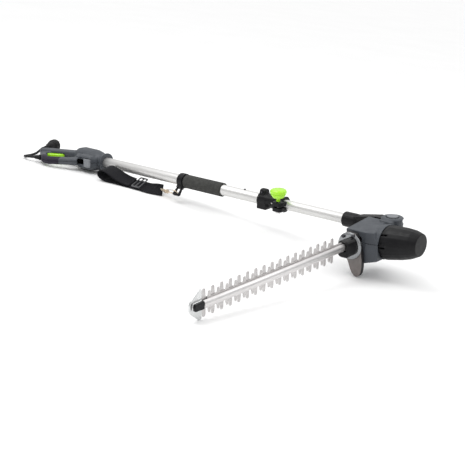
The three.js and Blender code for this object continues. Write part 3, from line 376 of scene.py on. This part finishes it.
# Bevel widths in mm, for nodes that differ from the usual one.
BEVELLED = {"comb_blade": 0.25, "cutting_blade": 0.25, "clamp_knob": 0.5, "strap_buckle": 0.4,
            "foam_grip": 0.8}
USUAL_BEVEL, WELD_REACH = 0.3, 0.02                            # mm
BEVEL_ANGLE = math.radians(32)


def dress_nodes(materials):
    slots = {s["node"]: s["material_slot"] for s in frame["record"]["subparts"]}
    for name, node in frame["nodes"].items():
        node.data.materials.clear()
        node.data.materials.append(materials[FINISHES.get(name, slots[name])])
        node.data.polygons.foreach_set("use_smooth", [True] * len(node.data.polygons))
        weld = node.modifiers.new("weld", "WELD")
        weld.merge_threshold = WELD_REACH * MM
        if name in REMESHED:
            voxel, steps = REMESHED[name]
            remesh = node.modifiers.new("mould", "REMESH")
            remesh.mode, remesh.voxel_size, remesh.use_smooth_shade = "VOXEL", voxel * MM, True
            relax = node.modifiers.new("relax", "SMOOTH")
            relax.factor, relax.iterations = 0.5, steps
        else:
            bevel = node.modifiers.new("edge", "BEVEL")
            bevel.width = BEVELLED.get(name, USUAL_BEVEL) * MM
            bevel.segments, bevel.limit_method, bevel.angle_limit = 2, "ANGLE", BEVEL_ANGLE
            bevel.harden_normals = True


# ---- shoulder strap ----
# Near edge (x, y, height) and the way across to the far edge, in the tool's axes over the floor, mm.
STRAP = [
    (76, -21, 1.8, -25, 33, 21), (58, -29, 1.6, -23, 34, 21), (36, -38, 1.5, -18, 38, 18),
    (0, -40, 1.5, -12, 41, 16), (-34, -47, 1.5, -8, 43, 14), (-71, -53, 1.5, -5, 45, 12),
    (-98, -62, 2.2, -2, 45, 11), (-114, -66, 6, 0, 45, 10), (-124, -67, 13, 0, 45, 10),
    (-126, -67, 21, 0, 45, 10), (-119, -67, 28, 0, 45, 10), (-107, -66, 30, -1, 45, 10),
    (-90, -62, 25, -3, 45, 11), (-68, -56, 15, -5, 45, 12), (-44, -50, 8, -8, 43, 14),
    (-26, -46, 6, -9, 43, 14),
]
STRAP_POINTS = 8                                               # rows between two of the points above
STRAP_THICK, STRAP_WIDTH = 1.7, 46.5                           # mm
STRAP_STEPS = 12                                               # faces across
SELVEDGE = 0.45                                                # share of the thickness left at the edges
RIPPLE, RIPPLE_TURNS = 0.6, 55                                 # mm, and radians per metre of strap


def strap_row(bm, near, far, out, run):
    """One closed row of corners round the strap's section, with each corner's place on the tape."""
    width = far - near
    row = []
    for side in (1, -1):
        steps = range(STRAP_STEPS + 1) if side > 0 else range(STRAP_STEPS, -1, -1)
        for k in steps:
            u = k / STRAP_STEPS
            at_edge = min(k, STRAP_STEPS - k) == 0
            half = STRAP_THICK / 2 * MM * (SELVEDGE if at_edge else 1.0)
            sag = RIPPLE * MM * math.sin(run * RIPPLE_TURNS) * math.sin(math.pi * u)
            vert = bm.verts.new(near + width * u + out * (side * half + sag))
            row.append((vert, (u * width.length, run)))
    return row


def build_strap(materials):
    near = spline([above(x, y, h) for x, y, h, *_ in STRAP], STRAP_POINTS)
    far = spline([above(x + dx, y + dy, h + rise) for x, y, h, dx, dy, rise in STRAP], STRAP_POINTS)
    middle = [(a + b) / 2 for a, b in zip(near, far)]
    bm = bmesh.new()
    layer = bm.loops.layers.uv.new("tape")

    def add_face(corners):
        face = bm.faces.new([vert for vert, _ in corners])
        for loop, (_, place) in zip(face.loops, corners):
            loop[layer].uv = place

    rows, run = [], 0.0
    for i, (a, b) in enumerate(zip(near, far)):
        before, after = middle[max(i - 1, 0)], middle[min(i + 1, len(middle) - 1)]
        if i:
            run += (middle[i] - middle[i - 1]).length
        rows.append(strap_row(bm, a, b, (after - before).cross(b - a).normalized(), run))
    count = len(rows[0])
    for r0, r1 in zip(rows, rows[1:]):
        for k in range(count):
            add_face([r0[k], r0[(k + 1) % count], r1[(k + 1) % count], r1[k]])
    add_face(rows[0][::-1])
    add_face(rows[-1])
    strap = add_object("shoulder_strap_webbing", bm, materials["webbing"])
    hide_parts("shoulder_strap")
    stitches = build_stitches(near, far, materials)


STITCHED_ROWS = (7, 11)                                        # rows of the strap near the hook
STITCHES, STITCH_FIRST, STITCH_PITCH, STITCH_LONG = 14, 0.08, 0.06, 0.04     # shares of the width
THREAD_R, THREAD_LIFT, THREAD_SIDES = 0.35, 0.15, 6            # mm


def build_stitches(near, far, materials):
    """Two rows of thread across the strap near the hook."""
    bm = bmesh.new()
    lift = (STRAP_THICK / 2 + THREAD_LIFT) * MM

    def stitch(p, q, out):
        turn = basis(q - p, out)
        rings = []
        for end in (p, q):
            ring = []
            for k in range(THREAD_SIDES):
                a = 2 * math.pi / THREAD_SIDES * k
                offset = Vector((0, THREAD_R * MM * math.cos(a), THREAD_R * MM * math.sin(a)))
                ring.append(bm.verts.new(end + turn @ offset))
            rings.append(ring)
        low, high = rings
        for k in range(THREAD_SIDES):
            following = (k + 1) % THREAD_SIDES
            bm.faces.new((low[k], low[following], high[following], high[k]))
        bm.faces.new(low[::-1])
        bm.faces.new(high)

    for i in STITCHED_ROWS:
        a, b = near[i], far[i]
        out = (near[i + 1] - near[i - 1]).cross(b - a).normalized()
        for k in range(STITCHES):
            start = STITCH_FIRST + STITCH_PITCH * k
            stitch(a.lerp(b, start) + out * lift, a.lerp(b, start + STITCH_LONG) + out * lift, out)
    return add_object("strap_stitches", bm, materials["light_grey"])


# ---- mains lead ----
CORD_R, CORD_GAP = 3.5, 0.35                                   # mm
CORD_POINTS = 4                                                # points between two of the route's
GLAND_AT, GLAND_TURN, GLAND_LENGTH = (-340, -84.8), math.radians(205), 18
PLUG_AT, PLUG_TOWARDS, PLUG_BACK, PLUG_R = (-432, 38), (-0.25, 0.97), 42, 18.5
PIN_APART = 9.5                                                # mm from the plug's middle line
UP = Vector((0, 0, 1))

# Outlines as (distance along the axis, radius), mm.
PLUG_OUTLINE = [
    (-42, 3.9), (-41.6, 4.6), (-38, 4.9), (-37.4, 4.3), (-35.6, 4.4), (-35, 5.3), (-32, 5.6), (-31.4, 4.9),
    (-29.6, 5.0), (-29, 6.1), (-26.5, 6.6), (-25, 8.5), (-23.5, 10), (-20, 11.4), (-15, 12.4), (-9, 13.2),
    (-6.5, 14.5), (-5, 16.6), (-3.6, 18), (-2, 18.5), (9.5, 18.5), (11.2, 18.2), (12, 17.2), (12, 1),
]
PLUG_FLUTES, PLUG_FLUTE_DEPTH, PLUG_FLUTED = 18, 0.9, (-22, 10)
PIN_OUTLINE = [(11.6, 2.4), (29.2, 2.4), (30.4, 1.9), (31, 0.9)]
SLEEVE_OUTLINE = [(-8, 3.9), (-8, 5.1), (0.6, 5.1), (0.7, 7.6), (1.1, 8), (3.6, 8), (4, 7.6)]
SLEEVE_END = [(17.8, 4.7), (18, 3.9)]
SLEEVE_RINGS, RING_FIRST, RING_PITCH, RING_R, RING_TAPER = 5, 4.4, 2.7, 6.5, 0.32


def lead_points():
    """The lead's route from the strain relief to the plug, and the plug's middle."""
    def leave(distance):
        x, y = GLAND_AT
        return tool(x + distance * math.cos(GLAND_TURN), y + distance * math.sin(GLAND_TURN), 0)

    centre = above(*PLUG_AT, PLUG_R)
    ahead = above(PLUG_AT[0] + PLUG_TOWARDS[0], PLUG_AT[1] + PLUG_TOWARDS[1], PLUG_R)
    into = (ahead - centre).normalized()
    end = centre - into * (PLUG_BACK + CORD_GAP) * MM
    route = [
        leave(GLAND_LENGTH + CORD_GAP), leave(GLAND_LENGTH + 12),
        above(-385, -101, 10), above(-402, -93, 6),
        above(-411, -76, CORD_R + 0.3), above(-416, -52, CORD_R + 0.3),
        above(-420, -32, 7), end - into * 10 * MM, end,
    ]
    return route, centre


def build_plug(centre, into, materials):
    body = lathe("round_plug", PLUG_OUTLINE, centre, into, UP, 72,
                 materials["black_plastic"], PLUG_FLUTES, PLUG_FLUTE_DEPTH, PLUG_FLUTED)
    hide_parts("mains_plug")
    pieces = [body]
    for number, sign in ((1, -1), (2, 1)):
        side = basis(into, UP) @ Vector((0, PIN_APART * sign * MM, 0))
        pieces.append(lathe(f"plug_pin_{number}", PIN_OUTLINE, centre + side, into, UP, 20,
                            materials["steel"]))
    return pieces


def build_strain_relief(leaves_at, materials):
    start = tool(*GLAND_AT, 0)
    outline = list(SLEEVE_OUTLINE)
    for k in range(SLEEVE_RINGS):
        at, r = RING_FIRST + RING_PITCH * k, RING_R - RING_TAPER * k
        outline += [(at, r - 0.9), (at + 0.5, r), (at + 1.8, r - 0.1), (at + 2.2, r - 1)]
    outline += SLEEVE_END
    sleeve = lathe("strain_relief", outline, start, leaves_at - start, UP, 32,
                   materials["cord_rubber"])
    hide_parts("cord_gland")


def build_lead(materials):
    points, centre = lead_points()
    route = spline(points, CORD_POINTS)
    curve = bpy.data.curves.new("mains_lead", "CURVE")
    curve.dimensions, curve.bevel_depth, curve.bevel_resolution = "3D", CORD_R * MM, 5
    curve.use_fill_caps = True
    line = curve.splines.new("POLY")
    line.points.add(len(route) - 1)
    for point, place in zip(line.points, route):
        point.co = (*place, 1)
    curve.materials.append(materials["cord_rubber"])
    lead = bpy.data.objects.new("mains_lead", curve)
    bpy.context.scene.collection.objects.link(lead)
    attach(lead, "handle")
    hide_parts("mains_cord")
    plug = build_plug(centre, (points[-1] - points[-2]).normalized(), materials)
    build_strain_relief(points[0], materials)


# ---- hand guard: a smoked plate with a dark rim ----
FACES_OUT = 0.7


def dress_guard(materials):
    node = frame["nodes"]["hand_guard"]
    node.data.materials.clear()
    for key in ("smoked", "guard_rim"):
        node.data.materials.append(materials[key])
    turn = node.matrix_world.to_3x3()
    for polygon in node.data.polygons:
        polygon.material_index = 0 if (turn @ polygon.normal).dot(-TOP) > FACES_OUT else 1


# ---- floor and light, in metres ----
FLOOR_SIZE, FLOOR_DROP = 80, 0.0004
SKY_FROM, SKY_TO, SKY_LOW, SKY_HIGH = 0.0, 0.75, 0.3, 1.25     # the sky's height and strength at both ends
LAMPS = (("key", (-0.9, -0.7, 2.4), 1.3, 22), ("fill", (1.8, 0.9, 1.9), 1.2, 8))


def build_floor():
    bpy.ops.mesh.primitive_plane_add(size=FLOOR_SIZE, location=(0, 0, -FLOOR_DROP))
    floor = bpy.context.object
    floor.name = "studio_floor"
    n = Nodes("pale floor")
    tone = n.between(n.noise(n.place(), 3), 0.0, 1.0)
    n.put(n.shader, "Base Color", n.mix(tone, (0.93, 0.93, 0.93), (0.95, 0.95, 0.95)))
    n.shader.inputs["Roughness"].default_value = 0.6
    floor.data.materials.append(n.material)
    return floor


def build_light():
    world = bpy.data.worlds.new("studio")
    world.use_nodes = True
    tree = world.node_tree
    sky = tree.nodes["Background"]
    sky.inputs[0].default_value = (1, 1, 1, 1)
    height = tree.nodes.new("ShaderNodeSeparateXYZ")
    tree.links.new(tree.nodes.new("ShaderNodeTexCoord").outputs["Generated"], height.inputs[0])
    shade = tree.nodes.new("ShaderNodeMapRange")
    for socket, value in zip(shade.inputs[1:], (SKY_FROM, SKY_TO, SKY_LOW, SKY_HIGH)):
        socket.default_value = value
    tree.links.new(height.outputs[2], shade.inputs[0])
    tree.links.new(shade.outputs[0], sky.inputs[1])
    bpy.context.scene.world = world
    for name, place, size, power in LAMPS:
        light = bpy.data.lights.new(name, "AREA")
        light.size, light.energy = size, power
        lamp = bpy.data.objects.new(name, light)
        bpy.context.scene.collection.objects.link(lamp)
        lamp.location = place
        lamp.rotation_euler = (-Vector(place)).to_track_quat("-Z", "Y").to_euler()


place_camera()
floor = build_floor()
build_light()
materials = {**make_plastics(), **make_metals(), **make_soft_materials()}
build_lead(materials)
dress_nodes(materials)
dress_guard(materials)
build_strap(materials)

bpy.context.scene.view_settings.view_transform = "Standard"
